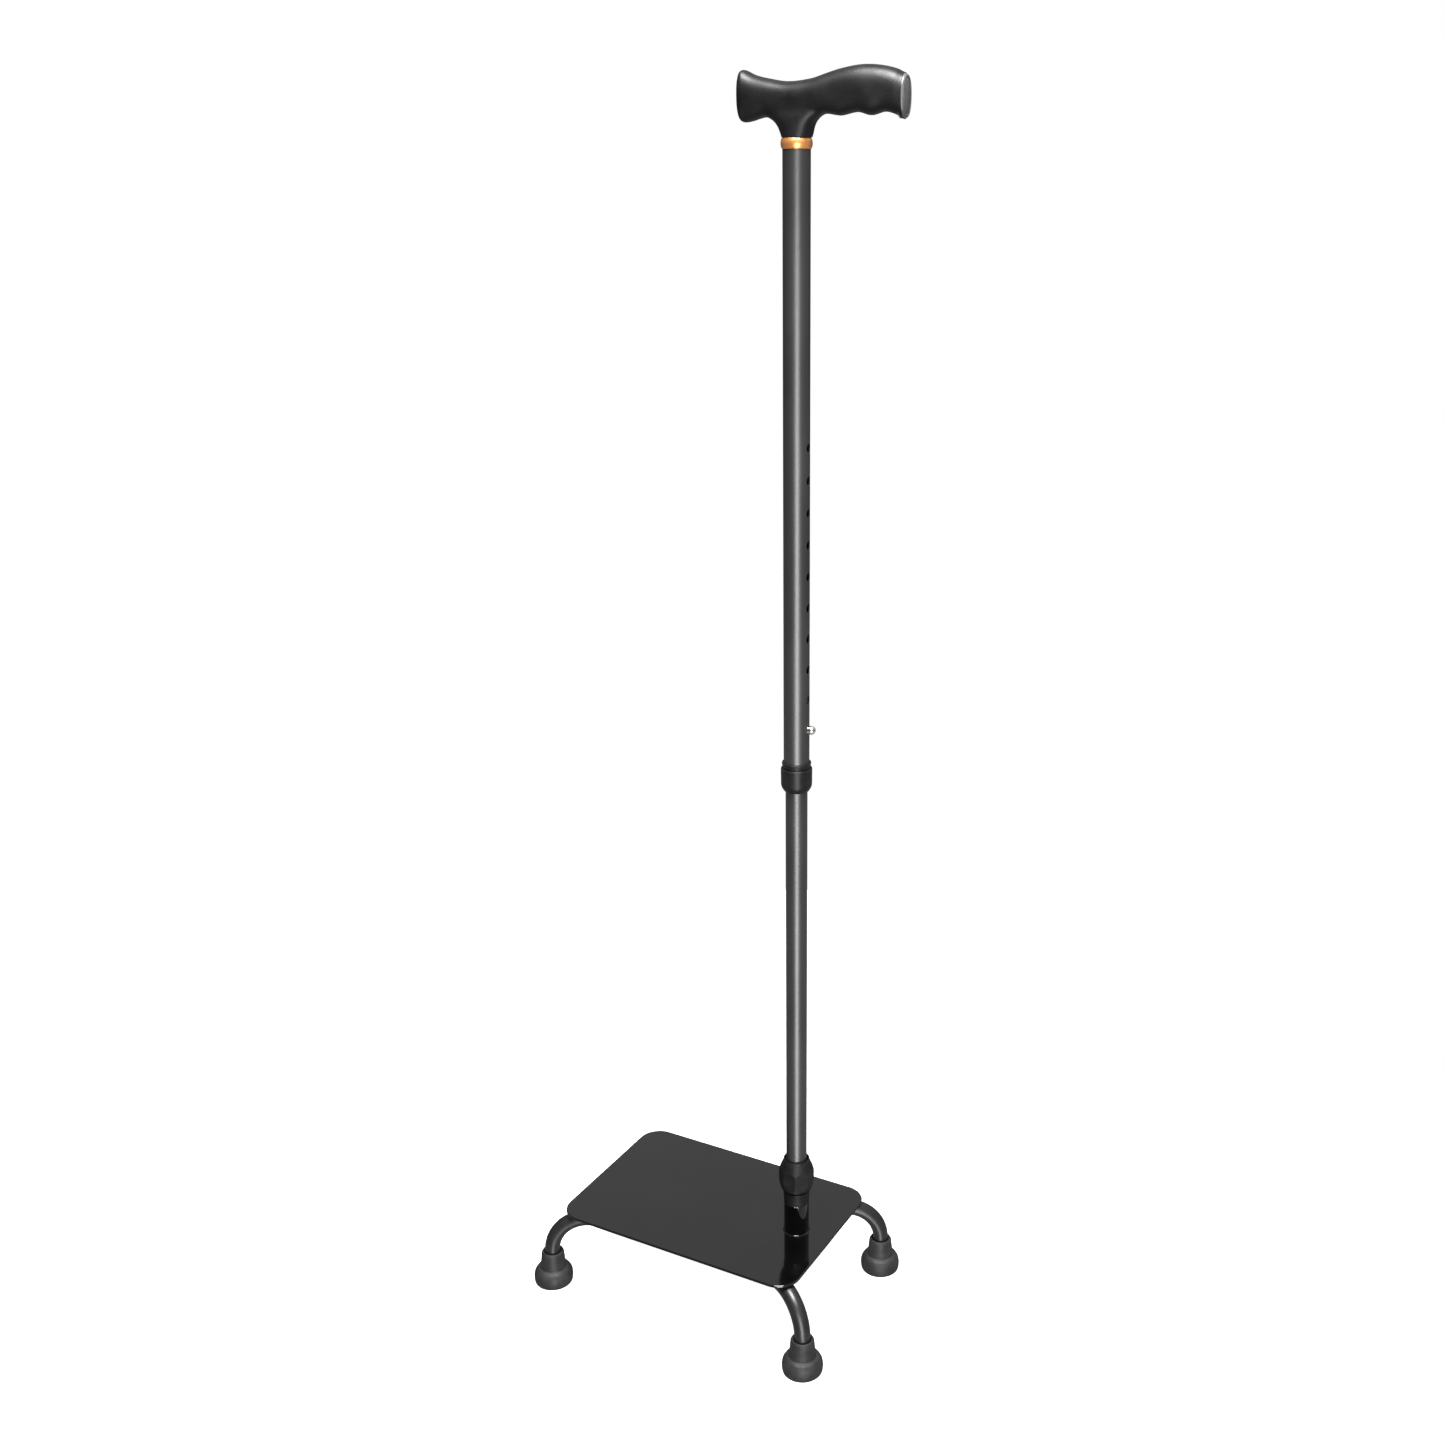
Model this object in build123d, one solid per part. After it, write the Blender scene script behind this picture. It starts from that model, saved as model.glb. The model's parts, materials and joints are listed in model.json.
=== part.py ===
from build123d import *
import os
from math import cos, radians, sin, tan

# Quad walking cane, in millimetres, +Z up. The origin is on the floor, in the middle of the cane's
# overall footprint. +X runs along the base plate towards the shaft, +Y across the plate. The shaft's
# own parts are drawn about its axis, with +X the way its buttons and handle point, and then placed.

# Base plate
PLATE_LENGTH = 236.0
PLATE_WIDTH = 158.0
PLATE_THICKNESS = 2.4
PLATE_CORNER = 20.0
PLATE_TOP = 74.0
PLATE_X = -11.4

# Legs: two bent tubes welded under the plate, each with a foot at both ends
LEG_X = PLATE_X + 2.1
FOOT_SPACING_X = 257.0
FOOT_SPACING_Y = 155.5
LEG_DIAMETER = 14.0
LEG_WALL = 1.2
LEG_KNEE_RADIUS = 32.0
LEG_FLARE_ANGLE = 29.5
LEG_FLARE_RADIUS = 60.0
LEG_RUN_SPACING = 90.0
LEG_END_HEIGHT = 9.6
LEG_WELD_LENGTH = 26.0
LEG_WELD_PLACES = (-40.0, 0.0, 40.0)
LEG_WELD_SIZE = 3.4

# Rubber feet
FOOT_HEIGHT = 31.4
FOOT_RIM_RADIUS = 10.0
FOOT_NECK_RADIUS = 11.2
FOOT_NECK_HEIGHT = 17.0
FOOT_SHOULDER_RADIUS = 15.7
FOOT_SHOULDER_HEIGHT = 10.8
FOOT_WIDEST_RADIUS = 17.8
FOOT_WIDEST_HEIGHT = 5.6
FOOT_TREAD_RADIUS = 15.6
FOOT_MOUTH_RADIUS = 8.0
FOOT_MOUTH_DEPTH = 2.4
TREAD_GROOVE_RADII = (4.5, 8.5, 12.5)
TREAD_GROOVE_WIDTH = 1.6
TREAD_GROOVE_DEPTH = 1.5
WASHER_THICKNESS = 1.6

# Shaft
SHAFT_X = PLATE_X + 84.0
SHAFT_YAW = 7.5
UPPER_OUTER = 21.0
UPPER_INNER = 18.4
LOWER_OUTER = 18.0
LOWER_INNER = 15.4
RUNNING_GAP = 0.05

# Post, socket and lock nut on the plate
POST_OUTER = 22.2
POST_INNER = 18.2
POST_SHOULDER = PLATE_TOP + 29.5
POST_NECK_OUTER = 20.0
POST_NECK_TOP = PLATE_TOP + 46.0
WELD_WIDTH = 1.8
SOCKET_TOP_OUTER = 23.4
SOCKET_BOTTOM_OUTER = 22.0
SOCKET_THREAD_OUTER = 24.4
SOCKET_TOP = PLATE_TOP + 57.5
NUT_BOTTOM = PLATE_TOP + 44.2
NUT_SKIRT_TOP = PLATE_TOP + 51.0
NUT_SHOULDER = PLATE_TOP + 62.3
NUT_CONE_TOP = PLATE_TOP + 71.0
NUT_TOP = PLATE_TOP + 72.8
NUT_SIDES = 8
NUT_CORNER_TURN = 17.0
NUT_CORNER_RADIUS = 15.5
NUT_SKIRT_RADIUS = 13.6
NUT_RIM_RADIUS = 10.7
NUT_MOUTH_RADIUS = 9.7
NUT_THREAD_GAP = 0.3
COLLET_BOTTOM = SOCKET_TOP + 0.1
COLLET_LENGTH = 12.0
COLLET_SEAT = 2.0
COLLET_SLOTS = 6
THREAD_PITCH = 2.0
THREAD_DEPTH = 0.7

# Snap button
BUTTON_HEIGHT = 543.9
BUTTON_DIAMETER = 7.0
BUTTON_TIP = 16.2
BUTTON_WALL = 0.8
BUTTON_HOLE_DIAMETER = 7.4
SPRING_FACE = 5.8
SPRING_THICKNESS = 0.6
SPRING_WIDTH = 7.6
SPRING_LEAF_END = 5.0
SPRING_BEND_DEPTH = 42.0
SPRING_BEND_RADIUS = 2.4

# Height adjustment
HOLE_PITCH = 25.4
HOLE_COUNT = 10
LOWER_TUBE_BOTTOM = PLATE_TOP + 0.5
LOWER_TUBE_TOP = BUTTON_HEIGHT + 26.0
GUIDE_FLANGE = 3.0
GUIDE_SPIGOT = 10.0
GUIDE_BORE_RADIUS = 4.0

# Anti-rattle collar at the upper tube's lower end
UPPER_TUBE_BOTTOM = 509.0
BUSH_RIM_TOP = 515.7
BUSH_RIM_BOTTOM = 511.1
BUSH_RIM_OUTER = 24.2
BUSH_THREAD_OUTER = 22.6
BUSH_BOTTOM = 498.0
BUSH_SLOTS = 4
SLOT_WIDTH = 1.2
CUP_TOP = 510.7
CUP_BOTTOM = 491.0
CUP_OUTER = 25.7
CUP_MOUTH_GAP = 0.35
CUP_BOTTOM_ROUND = 3.0
CUP_TOP_ROUND = 0.7
CUP_THREAD_GAP = 0.3
CUP_FLOOR = BUSH_BOTTOM - 4.2
RING_HEIGHT = 496.7
RING_SECTION_RADIUS = 1.1

# Handle
UPPER_TUBE_TOP = 1000.0
COLLAR_HEIGHT = 8.0
COLLAR_OUTER = 23.6
COLLAR_BELLY = 0.45
STEM_BOTTOM = 956.0
STEM_TOP = 1030.0
STEM_CORE_DIAMETER = 13.0
STEM_GROOVES = (1008.0, 1016.0)
STEM_GROOVE_WIDTH = 3.0
STEM_GROOVE_DEPTH = 1.2
PIN_DIAMETER = 3.0
PIN_HEIGHT = UPPER_TUBE_TOP - COLLAR_HEIGHT / 2
GRIP_END = 82.0
PLUG_CAP_THICKNESS = 2.6
PLUG_CAP_INSET = 1.3
PLUG_CAP_ROUND = 1.4
PLUG_SPIGOT_DIAMETER = 12.0
PLUG_SPIGOT_LENGTH = 14.0
# distance along the handle, underside height, top height and width
GRIP_SECTIONS = (
    (-44.2, 1014.6, 1043.6, 17.0),
    (-41.4, 1010.8, 1047.0, 22.0),
    (-32.0, 1012.0, 1043.6, 23.5),
    (-22.0, 1014.5, 1041.2, 24.0),
    (-6.0, 1014.8, 1038.8, 25.0),
    (12.0, 1015.2, 1040.4, 26.0),
    (24.0, 1016.0, 1044.0, 26.5),
    (34.0, 1014.7, 1046.9, 27.0),
    (47.0, 1017.1, 1049.3, 27.0),
    (57.0, 1014.7, 1049.6, 27.0),
    (68.0, 1017.2, 1048.4, 26.0),
    (77.0, 1014.8, 1045.8, 24.6),
    (GRIP_END, 1012.2, 1043.6, 23.0),
)
# height, left and right ends along the handle, and width
NECK_SECTIONS = (
    (UPPER_TUBE_TOP, -11.1, 11.5, 22.4),
    (1004.0, -12.2, 12.6, 22.8),
    (1008.0, -14.2, 13.8, 23.2),
    (1012.0, -17.9, 16.0, 23.4),
    (1015.0, -23.4, 20.0, 23.2),
    (1018.0, -28.0, 25.0, 22.0),
    (1023.0, -30.0, 30.0, 20.0),
)
SECTION_ROUNDING = 0.44

SHAFT = Location((SHAFT_X, 0, 0), (0, 0, SHAFT_YAW))
LEG_AXIS_HEIGHT = PLATE_TOP - PLATE_THICKNESS - LEG_DIAMETER / 2
FOOT_PLACES = {
    "front_left": (-1, -1),
    "front_right": (1, -1),
    "rear_left": (-1, 1),
    "rear_right": (1, 1),
}


def turned(corners):
    """A solid of revolution about Z from (radius, height) corners."""
    outline = Polyline(*[(radius, 0, height) for radius, height in corners], close=True)
    return revolve(make_face(outline), Axis.Z)


def sleeve(outer, inner, bottom, top):
    """A plain tube about Z."""
    ring = Circle(outer / 2) - Circle(inner / 2)
    return Pos(0, 0, bottom) * extrude(ring, top - bottom)


def cross_drill(diameter, height, turn=0.0):
    """A round cutter from the shaft's axis outwards, at an angle about the axis."""
    cutter = Cylinder(diameter / 2, 30, align=(Align.CENTER, Align.CENTER, Align.MIN))
    return Rot(0, 0, turn) * Pos(0, 0, height) * Rot(0, 90, 0) * cutter


def thread_corners(radius, bottom, top):
    """The (radius, height) corners of a thread's flanks from bottom to top, crests at radius."""
    turns = int((top - bottom) // THREAD_PITCH)
    corners = []
    for turn in range(turns):
        start = bottom + turn * THREAD_PITCH
        corners.append((radius - THREAD_DEPTH, start))
        corners.append((radius, start + THREAD_PITCH / 2))
    corners.append((radius - THREAD_DEPTH, bottom + turns * THREAD_PITCH))
    return corners


def slots(count, width, inner, outer, bottom, top):
    """Radial saw cuts about Z, spaced evenly."""
    cut = Pos((inner + outer) / 2, 0, (bottom + top) / 2) * Box(outer - inner, width, top - bottom)
    return [Rot(0, 0, 360 / count * (number + 0.5)) * cut for number in range(count)]


def foot_position(place):
    side_x, side_y = FOOT_PLACES[place]
    return (LEG_X + side_x * FOOT_SPACING_X / 2, side_y * FOOT_SPACING_Y / 2)


# ---- Base ----


def base_plate():
    outline = RectangleRounded(PLATE_LENGTH, PLATE_WIDTH, PLATE_CORNER)
    plate = Pos(PLATE_X, 0, PLATE_TOP - PLATE_THICKNESS) * extrude(outline, PLATE_THICKNESS)
    rims = plate.edges().filter_by_position(Axis.Z, PLATE_TOP - 0.1, PLATE_TOP + 0.1)
    return fillet(rims, 0.8)


def leg_tube(side_y):
    """One bent tube: foot, knee, flared run to the middle run, and the same again mirrored."""
    foot_x = FOOT_SPACING_X / 2
    foot_y = side_y * FOOT_SPACING_Y / 2
    run_y = side_y * LEG_RUN_SPACING / 2
    run_x = foot_x - abs(foot_y - run_y) / tan(radians(LEG_FLARE_ANGLE))
    half = [
        (foot_x, foot_y, LEG_END_HEIGHT),
        (foot_x, foot_y, LEG_AXIS_HEIGHT),
        (run_x, run_y, LEG_AXIS_HEIGHT),
    ]
    mirrored = [(-x, y, z) for x, y, z in reversed(half)]
    radii = [LEG_KNEE_RADIUS, LEG_FLARE_RADIUS, LEG_FLARE_RADIUS, LEG_KNEE_RADIUS]
    path = FilletPolyline(*half, *mirrored, radius=radii)
    wall = Circle(LEG_DIAMETER / 2) - Circle(LEG_DIAMETER / 2 - LEG_WALL)
    section = Plane(half[0], z_dir=(0, 0, 1)) * wall
    return Pos(LEG_X, 0, 0) * sweep(section, path)


def leg_welds(side_y):
    """Short fillet beads along both sides of a leg tube's middle run, up against the plate."""
    run_y = side_y * LEG_RUN_SPACING / 2
    under = PLATE_TOP - PLATE_THICKNESS
    tube = Pos(0, run_y, LEG_AXIS_HEIGHT) * Rot(0, 90, 0) * Cylinder(LEG_DIAMETER / 2, PLATE_LENGTH)
    reach = LEG_DIAMETER / 2 + 0.6
    beads = []
    for side in (-1, 1):
        edge = run_y + side * reach
        inner = run_y + side * (reach - LEG_WELD_SIZE - 1.2)
        corners = [(0, edge, under), (0, inner, under), (0, inner, under - LEG_WELD_SIZE)]
        wedge = make_face(Polyline(*corners, close=True))
        for place in LEG_WELD_PLACES:
            bead = extrude(wedge, LEG_WELD_LENGTH / 2, dir=(1, 0, 0), both=True)
            beads.append(Pos(LEG_X + place, 0, 0) * (bead - tube))
    return beads


def rubber_foot(place):
    """A ferrule with a waisted neck, a wide rounded tread and a blind socket for the leg."""
    socket_floor = LEG_END_HEIGHT - WASHER_THICKNESS
    leg_radius = LEG_DIAMETER / 2
    flare = Spline(
        (FOOT_WIDEST_RADIUS, 0, FOOT_WIDEST_HEIGHT),
        (FOOT_SHOULDER_RADIUS, 0, FOOT_SHOULDER_HEIGHT),
        (FOOT_NECK_RADIUS, 0, FOOT_NECK_HEIGHT),
        tangents=[(0, 0, 1), (-1, 0, 1.1)],
    )
    toe = Spline(
        (FOOT_TREAD_RADIUS, 0, 0),
        (FOOT_WIDEST_RADIUS, 0, FOOT_WIDEST_HEIGHT),
        tangents=[(1, 0, 0.6), (0, 0, 1)],
    )
    inside = Polyline(
        (FOOT_NECK_RADIUS, 0, FOOT_NECK_HEIGHT),
        (FOOT_RIM_RADIUS, 0, FOOT_HEIGHT - 1.6),
        (FOOT_RIM_RADIUS - 0.9, 0, FOOT_HEIGHT),
        (FOOT_MOUTH_RADIUS, 0, FOOT_HEIGHT),
        (leg_radius, 0, FOOT_HEIGHT - FOOT_MOUTH_DEPTH),
        (leg_radius, 0, socket_floor),
        (0, 0, socket_floor),
        (0, 0, 0),
        (FOOT_TREAD_RADIUS, 0, 0),
    )
    body = revolve(make_face(toe + flare + inside), Axis.Z)
    for radius in TREAD_GROOVE_RADII:
        outer = 2 * radius + TREAD_GROOVE_WIDTH
        body -= sleeve(outer, outer - 2 * TREAD_GROOVE_WIDTH, 0, TREAD_GROOVE_DEPTH)
    x, y = foot_position(place)
    return Pos(x, y, 0) * body


def foot_washers():
    """A steel washer under each leg tube's end, so that the tube doesn't cut through the rubber."""
    washer = sleeve(LEG_DIAMETER - 0.4, 5.0, LEG_END_HEIGHT - WASHER_THICKNESS, LEG_END_HEIGHT)
    return [Pos(*foot_position(place), 0) * washer for place in FOOT_PLACES]


# ---- Post and lock nut ----


def post():
    """The welded stub that the lower tube plugs into, with a narrower neck for the socket."""
    corners = [
        (POST_INNER / 2, PLATE_TOP),
        (POST_OUTER / 2, PLATE_TOP),
        (POST_OUTER / 2, POST_SHOULDER),
        (POST_NECK_OUTER / 2, POST_SHOULDER),
        (POST_NECK_OUTER / 2, POST_NECK_TOP),
        (POST_INNER / 2, POST_NECK_TOP),
    ]
    return SHAFT * turned(corners)


def post_weld():
    inner = POST_OUTER / 2
    corners = [
        (inner, PLATE_TOP),
        (inner + WELD_WIDTH, PLATE_TOP),
        (inner + WELD_WIDTH * 0.65, PLATE_TOP + WELD_WIDTH * 0.65),
        (inner, PLATE_TOP + WELD_WIDTH),
    ]
    return SHAFT * turned(corners)


def threaded_socket():
    """The plastic sleeve on the post's neck. The lock nut runs on its thread."""
    thread_start = NUT_BOTTOM + 0.6
    thread = thread_corners(SOCKET_THREAD_OUTER / 2, thread_start, SOCKET_TOP - 2.0)
    top_radius = LOWER_OUTER / 2 + RUNNING_GAP
    corners = [
        (POST_NECK_OUTER / 2, POST_SHOULDER),
        (SOCKET_BOTTOM_OUTER / 2, POST_SHOULDER),
        (SOCKET_TOP_OUTER / 2, NUT_BOTTOM - 0.4),
        *thread,
        (SOCKET_THREAD_OUTER / 2 - THREAD_DEPTH, SOCKET_TOP),
        (top_radius + 1.0, SOCKET_TOP),
        (top_radius, SOCKET_TOP - 1.0),
        (top_radius, POST_NECK_TOP),
        (POST_NECK_OUTER / 2, POST_NECK_TOP),
    ]
    return SHAFT * turned(corners)


def gripping_collet():
    """The slotted taper ring that the lock nut squeezes onto the lower tube."""
    bore = LOWER_OUTER / 2 + RUNNING_GAP
    outer = SOCKET_THREAD_OUTER / 2 - THREAD_DEPTH
    top = COLLET_BOTTOM + COLLET_LENGTH
    corners = [
        (bore, COLLET_BOTTOM),
        (outer, COLLET_BOTTOM),
        (outer, COLLET_BOTTOM + COLLET_SEAT),
        (bore + 0.9, top),
        (bore, top),
    ]
    ring = turned(corners)
    for cut in slots(COLLET_SLOTS, SLOT_WIDTH, bore - 2, outer + 1, COLLET_BOTTOM + COLLET_SEAT, top + 1):
        ring -= cut
    return SHAFT * ring


def lock_nut():
    """The eight-sided compression nut with a coned top and a tapered skirt."""
    octagon = RegularPolygon(NUT_CORNER_RADIUS, NUT_SIDES, rotation=NUT_CORNER_TURN)
    prism = Pos(0, 0, NUT_BOTTOM) * extrude(octagon, NUT_TOP - NUT_BOTTOM)
    envelope = turned(
        [
            (0, NUT_BOTTOM),
            (NUT_SKIRT_RADIUS, NUT_BOTTOM),
            (NUT_CORNER_RADIUS, NUT_SKIRT_TOP),
            (NUT_CORNER_RADIUS, NUT_SHOULDER),
            (NUT_RIM_RADIUS + 0.2, NUT_CONE_TOP),
            (NUT_RIM_RADIUS, NUT_TOP - 0.5),
            (NUT_RIM_RADIUS - 0.3, NUT_TOP),
            (0, NUT_TOP),
        ]
    )
    threaded = SOCKET_THREAD_OUTER / 2 + NUT_THREAD_GAP
    cavity_top = COLLET_BOTTOM + COLLET_LENGTH + 0.6
    cavity = turned(
        [
            (0, NUT_BOTTOM),
            (threaded, NUT_BOTTOM),
            (threaded, COLLET_BOTTOM + COLLET_SEAT),
            (NUT_MOUTH_RADIUS + 0.7, cavity_top),
            (NUT_MOUTH_RADIUS, cavity_top),
            (NUT_MOUTH_RADIUS, NUT_TOP),
            (0, NUT_TOP),
        ]
    )
    return SHAFT * ((prism & envelope) - cavity)


# ---- Snap button ----


def snap_button():
    """A domed steel button that points along +X, hollow behind, riveted to its spring."""
    radius = BUTTON_DIAMETER / 2
    barrel_end = BUTTON_TIP - radius
    slope = radius * sin(radians(45))
    dome = ThreePointArc((radius, 0, barrel_end), (slope, 0, barrel_end + slope), (0, 0, BUTTON_TIP))
    rest = Polyline(
        (0, 0, BUTTON_TIP),
        (0, 0, SPRING_FACE),
        (radius, 0, SPRING_FACE),
        (radius, 0, barrel_end),
    )
    body = revolve(make_face(dome + rest), Axis.Z)
    hollow = Cylinder(
        radius - BUTTON_WALL,
        barrel_end - SPRING_FACE - BUTTON_WALL,
        align=(Align.CENTER, Align.CENTER, Align.MIN),
    )
    body -= Pos(0, 0, SPRING_FACE) * hollow
    return SHAFT * (Pos(0, 0, BUTTON_HEIGHT) * Rot(0, 90, 0) * body)


def leaf_spring():
    """A strip bent into a V inside the lower tube: one leaf behind the button, one on the far wall."""
    leaf = SPRING_FACE - SPRING_THICKNESS / 2
    path = FilletPolyline(
        (leaf, BUTTON_HEIGHT + SPRING_LEAF_END),
        (leaf, BUTTON_HEIGHT - SPRING_LEAF_END),
        (0, BUTTON_HEIGHT - SPRING_BEND_DEPTH),
        (-leaf, BUTTON_HEIGHT - SPRING_LEAF_END),
        (-leaf, BUTTON_HEIGHT + SPRING_LEAF_END),
        radius=SPRING_BEND_RADIUS,
    )
    strip = trace(path, SPRING_THICKNESS)
    return SHAFT * (Rot(90, 0, 0) * extrude(strip, SPRING_WIDTH / 2, both=True))


# ---- Tubes ----


def lower_tube():
    body = sleeve(LOWER_OUTER, LOWER_INNER, LOWER_TUBE_BOTTOM, LOWER_TUBE_TOP)
    return SHAFT * (body - cross_drill(BUTTON_HOLE_DIAMETER, BUTTON_HEIGHT))


def guide_plug():
    """The plastic plug that centres the lower tube's top end inside the upper tube."""
    flange = UPPER_INNER / 2 - 2 * RUNNING_GAP
    spigot = LOWER_INNER / 2
    bottom = LOWER_TUBE_TOP - GUIDE_SPIGOT
    corners = [
        (GUIDE_BORE_RADIUS, bottom),
        (spigot - 0.4, bottom),
        (spigot, bottom + 1.0),
        (spigot, LOWER_TUBE_TOP),
        (flange, LOWER_TUBE_TOP),
        (flange, LOWER_TUBE_TOP + GUIDE_FLANGE - 0.8),
        (flange - 0.8, LOWER_TUBE_TOP + GUIDE_FLANGE),
        (GUIDE_BORE_RADIUS, LOWER_TUBE_TOP + GUIDE_FLANGE),
    ]
    return SHAFT * turned(corners)


def upper_tube():
    body = sleeve(UPPER_OUTER, UPPER_INNER, UPPER_TUBE_BOTTOM, UPPER_TUBE_TOP)
    for number in range(HOLE_COUNT):
        body -= cross_drill(BUTTON_HOLE_DIAMETER, BUTTON_HEIGHT + number * HOLE_PITCH)
    for turn in (90, 270):
        body -= cross_drill(PIN_DIAMETER, PIN_HEIGHT, turn)
    return SHAFT * body


# ---- Anti-rattle collar ----


def collar_bush():
    """The slotted, threaded sleeve fixed on the upper tube's lower end."""
    bore = LOWER_OUTER / 2 + RUNNING_GAP
    thread = thread_corners(BUSH_THREAD_OUTER / 2, BUSH_BOTTOM + 1.0, BUSH_RIM_BOTTOM - 0.5)
    corners = [
        (bore, BUSH_BOTTOM),
        (BUSH_THREAD_OUTER / 2 - THREAD_DEPTH - 0.6, BUSH_BOTTOM),
        *thread,
        (BUSH_THREAD_OUTER / 2 - THREAD_DEPTH, BUSH_RIM_BOTTOM),
        (BUSH_RIM_OUTER / 2 - 0.5, BUSH_RIM_BOTTOM),
        (BUSH_RIM_OUTER / 2, BUSH_RIM_TOP - 0.4),
        (BUSH_RIM_OUTER / 2 - 0.3, BUSH_RIM_TOP),
        (UPPER_OUTER / 2, BUSH_RIM_TOP),
        (UPPER_OUTER / 2, UPPER_TUBE_BOTTOM),
        (bore, UPPER_TUBE_BOTTOM),
    ]
    bush = turned(corners)
    for cut in slots(BUSH_SLOTS, SLOT_WIDTH, bore - 2, bore + 6, BUSH_BOTTOM - 1, BUSH_BOTTOM + 7):
        bush -= cut
    return SHAFT * bush


def collar_cup():
    """The round cup nut that closes the bush on the lower tube."""
    outer = CUP_OUTER / 2
    mouth = LOWER_OUTER / 2 + CUP_MOUTH_GAP
    cavity_radius = BUSH_THREAD_OUTER / 2 + CUP_THREAD_GAP
    bottom_corner = outer - CUP_BOTTOM_ROUND
    low_round = CenterArc((bottom_corner, CUP_BOTTOM + CUP_BOTTOM_ROUND, 0), CUP_BOTTOM_ROUND, -90, 90)
    top_round = CenterArc((outer - CUP_TOP_ROUND, CUP_TOP - CUP_TOP_ROUND, 0), CUP_TOP_ROUND, 0, 90)
    side = Line(low_round @ 1, top_round @ 0)
    inside = Polyline(
        top_round @ 1,
        (cavity_radius, CUP_TOP),
        (cavity_radius, BUSH_BOTTOM - 1.0),
        (cavity_radius - 0.8, CUP_FLOOR),
        (mouth, CUP_FLOOR),
        (mouth, CUP_BOTTOM),
        low_round @ 0,
    )
    outline = make_face(low_round + side + top_round + inside)
    return SHAFT * revolve(Rot(90, 0, 0) * outline, Axis.Z)


def rattle_ring():
    """The rubber ring that the cup presses between the bush and the lower tube."""
    major = LOWER_OUTER / 2 + RUNNING_GAP + RING_SECTION_RADIUS
    section = Pos(major, 0, 0) * Circle(RING_SECTION_RADIUS)
    return SHAFT * (Pos(0, 0, RING_HEIGHT) * revolve(Rot(90, 0, 0) * section, Axis.Z))


# ---- Handle ----


def handle_collar():
    """The bright trim ring over the upper tube's top end, slightly bellied."""
    bottom = UPPER_TUBE_TOP - COLLAR_HEIGHT
    inner = UPPER_OUTER / 2
    outer = COLLAR_OUTER / 2
    edge = outer - COLLAR_BELLY
    middle = bottom + COLLAR_HEIGHT / 2
    belly = ThreePointArc((edge, 0, bottom), (outer, 0, middle), (edge, 0, UPPER_TUBE_TOP))
    rest = Polyline(
        (edge, 0, UPPER_TUBE_TOP),
        (inner, 0, UPPER_TUBE_TOP),
        (inner, 0, bottom),
        (edge, 0, bottom),
    )
    return SHAFT * revolve(make_face(belly + rest), Axis.Z)


def stem_solid():
    """The stem about the shaft's axis: a plug in the tube and a grooved core in the grip."""
    plug = UPPER_INNER / 2
    core = STEM_CORE_DIAMETER / 2
    corners = [
        (0, STEM_BOTTOM),
        (plug - 1.0, STEM_BOTTOM),
        (plug, STEM_BOTTOM + 1.5),
        (plug, UPPER_TUBE_TOP),
        (core, UPPER_TUBE_TOP),
    ]
    root = core - STEM_GROOVE_DEPTH
    for bottom in STEM_GROOVES:
        top = bottom + STEM_GROOVE_WIDTH
        corners += [(core, bottom), (root, bottom), (root, top), (core, top)]
    corners += [(core, STEM_TOP), (0, STEM_TOP)]
    return turned(corners)


def handle_stem():
    stem = stem_solid()
    for turn in (90, 270):
        stem -= cross_drill(PIN_DIAMETER, PIN_HEIGHT, turn)
    return SHAFT * stem


def handle_pin():
    """The steel pin across the tube and the stem, hidden by the trim ring."""
    pin = Rot(90, 0, 0) * Cylinder(PIN_DIAMETER / 2, UPPER_OUTER - 0.4)
    return SHAFT * (Pos(0, 0, PIN_HEIGHT) * pin)


def rounded_section(plane, length, width):
    return plane * RectangleRounded(length, width, SECTION_ROUNDING * min(length, width))


def grip_bar():
    sections = []
    for along, low, high, width in GRIP_SECTIONS:
        plane = Plane((along, 0, (low + high) / 2), x_dir=(0, 0, 1), z_dir=(1, 0, 0))
        sections.append(rounded_section(plane, high - low, width))
    return loft(sections)


def grip_neck():
    sections = []
    for height, left, right, width in NECK_SECTIONS:
        plane = Plane(((left + right) / 2, 0, height), x_dir=(1, 0, 0), z_dir=(0, 0, 1))
        sections.append(rounded_section(plane, right - left, width))
    return loft(sections)


def plug_middle():
    """The middle height of the grip's open end."""
    _, low, high, _ = GRIP_SECTIONS[-1]
    return (low + high) / 2


def plug_solid():
    """The end plug about the handle's direction: an oval cap and a round spigot."""
    _, low, high, width = GRIP_SECTIONS[-1]
    face = Plane((GRIP_END, 0, plug_middle()), x_dir=(0, 0, 1), z_dir=(1, 0, 0))
    outline = rounded_section(face, high - low - 2 * PLUG_CAP_INSET, width - 2 * PLUG_CAP_INSET)
    cap = extrude(outline, PLUG_CAP_THICKNESS)
    cap = fillet(cap.faces().sort_by(Axis.X)[-1].edges(), PLUG_CAP_ROUND)
    spigot = Pos(GRIP_END, 0, plug_middle()) * Rot(0, -90, 0) * Cylinder(
        PLUG_SPIGOT_DIAMETER / 2, PLUG_SPIGOT_LENGTH, align=(Align.CENTER, Align.CENTER, Align.MIN)
    )
    return cap + spigot


def handle_grip():
    """The moulded palm grip: a bar with finger waves underneath, blended into a round neck."""
    grip = grip_bar() + grip_neck()
    return SHAFT * (grip - stem_solid() - plug_solid())


def grip_end_plug():
    return SHAFT * plug_solid()


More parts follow.
